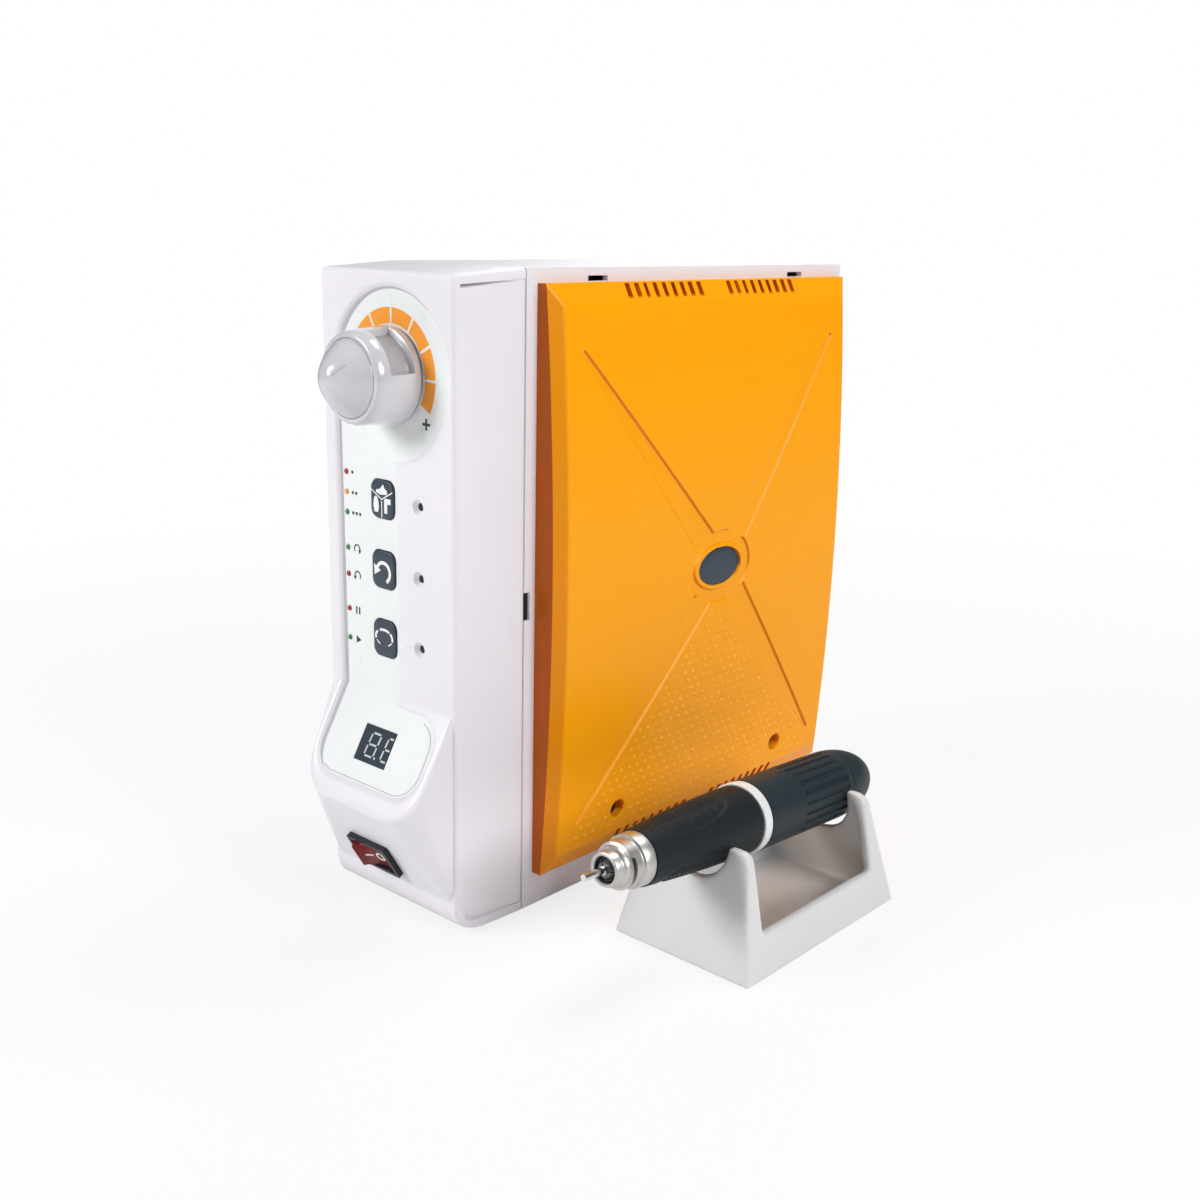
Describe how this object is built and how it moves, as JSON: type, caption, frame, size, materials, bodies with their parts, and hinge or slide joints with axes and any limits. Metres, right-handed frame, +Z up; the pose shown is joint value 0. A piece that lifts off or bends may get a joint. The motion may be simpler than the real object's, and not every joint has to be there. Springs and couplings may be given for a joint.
{
  "type": "dental micromotor",
  "caption": "Bench dental micromotor: control box with speed knob, keys, display and power rocker, and a motor handpiece with twist-release collet resting in a separate cradle.",
  "frame": {"origin": "middle of the whole set seen from above, on the bench", "axes": "+Y from the knob end to the back panel, +X from the box to the cradle, +Z up"},
  "size_m": [0.1632, 0.2494, 0.23],
  "materials": {
    "shell_white": "satin lilac-white moulding",
    "cover_orange": "fine satin orange",
    "slate": "soft slate",
    "label_white": "printed film",
    "window_dark": "smoked window",
    "lamp_red": "translucent lens",
    "lamp_green": "translucent lens",
    "lamp_amber": "translucent lens",
    "board_green": "solder mask",
    "black_plastic": "moulded black",
    "blue_plastic": "moulded blue",
    "rocker_red": "dark red translucent",
    "steel": "turned steel",
    "lamination": "stacked laminations",
    "copper": "enamelled copper",
    "alu": "bare aluminium",
    "rubber_black": "fine textured rubber",
    "case_black": "satin black coat",
    "cradle_grey": "satin pale grey",
    "knob_white": "polished white",
    "carbon": "carbon",
    "spring_brass": "spring wire"
  },
  "bodies": {
    "control_box": {"front_shell": "shell_white", "rear_shell": "shell_white", "side_cover": "cover_orange", "cover_badge": "slate", "cover_screws": "black_plastic", "shell_screws": "steel", "control_label": "label_white", "display_window": "window_dark", "display_module": "label_white", "leds_red": "lamp_red", "leds_green": "lamp_green", "led_amber": "lamp_amber", "control_board": "board_green", "key_switches": "black_plastic", "trim_pots": "blue_plastic", "potentiometer": "steel", "pot_nut": "steel", "switch_housing": "black_plastic", "mains_inlet": "black_plastic", "handpiece_socket": "steel", "pedal_jack": "steel", "transformer_core": "lamination", "transformer_coil": "copper", "transformer_clamp": "steel", "power_board": "board_green", "heat_sink": "alu", "power_transistors": "black_plastic", "capacitors": "blue_plastic", "board_screws": "steel", "rubber_feet": "rubber_black"},
    "speed_knob": {"knob_body": "knob_white", "knob_cap": "knob_white", "pot_shaft": "steel"},
    "mode_button": {"mode_key": "slate"},
    "direction_button": {"direction_key": "slate"},
    "cruise_button": {"cruise_key": "slate"},
    "power_rocker": {"rocker": "rocker_red"},
    "stand": {"cradle": "cradle_grey"},
    "motor_half": {"motor_case": "case_black", "rear_cap": "case_black", "cord_socket": "black_plastic", "trim_ring": "steel", "motor_can": "alu", "stator_magnets": "lamination", "brush_holders": "black_plastic", "carbon_brushes": "carbon", "brush_springs": "spring_brass", "rear_bearing": "steel", "front_bearings": "steel", "spindle_tube": "alu"},
    "grip_half": {"front_sleeve": "alu", "grip_rubber": "rubber_black", "nose_cone": "steel"},
    "chuck_release": {"release_ring": "steel"},
    "spinning_group": {"spindle": "steel", "collet": "steel", "rotor": "copper", "commutator": "copper"},
    "tool": {"tool_shank": "steel"}
  },
  "joints": [
    {"name": "knob_turn", "type": "hinge", "parent": "control_box", "child": "speed_knob", "pos_m": [-0.04448, -0.0983, 0.1943], "axis": [0, 1, 0], "range_deg": [-167, 73]},
    {"name": "mode_press", "type": "slide", "parent": "control_box", "child": "mode_button", "axis": [0, 1, 0], "range_m": [0, 0.0005], "stiffness_N_per_m": 1200},
    {"name": "direction_press", "type": "slide", "parent": "control_box", "child": "direction_button", "axis": [0, 1, 0], "range_m": [0, 0.0005], "stiffness_N_per_m": 1200},
    {"name": "cruise_press", "type": "slide", "parent": "control_box", "child": "cruise_button", "axis": [0, 1, 0], "range_m": [0, 0.0005], "stiffness_N_per_m": 1200},
    {"name": "power_rock", "type": "hinge", "parent": "control_box", "child": "power_rocker", "pos_m": [-0.04788, -0.10342, 0.0245], "axis": [0, 0.5126, -0.8586], "range_deg": [0, 24]},
    {"name": "stand_slide", "type": "slide", "parent": "control_box", "child": "stand", "axis": [1, 0, 0], "range_m": [0, 0.1]},
    {"name": "handpiece_lift", "type": "slide", "parent": "stand", "child": "motor_half", "axis": [0, 0, 1], "range_m": [0, 0.12]},
    {"name": "grip_twist", "type": "hinge", "parent": "motor_half", "child": "grip_half", "pos_m": [0.05212, -0.03824, 0.04348], "axis": [0, -0.998, 0.0628], "range_deg": [0, 60]},
    {"name": "release_slide", "type": "slide", "parent": "motor_half", "child": "chuck_release", "axis": [0, -0.998, 0.0628], "range_m": [-0.0012, 0]},
    {"name": "spindle_spin", "type": "hinge", "parent": "motor_half", "child": "spinning_group", "pos_m": [0.05212, -0.03824, 0.04348], "axis": [0, -0.998, 0.0628], "continuous": true},
    {"name": "tool_pull", "type": "slide", "parent": "spinning_group", "child": "tool", "axis": [0, -0.998, 0.0628], "range_m": [0, 0.03]}
  ],
  "couplings": [
    {"joint": "release_slide", "follows": "grip_twist", "m_per_rad": -0.0011459}
  ]
}
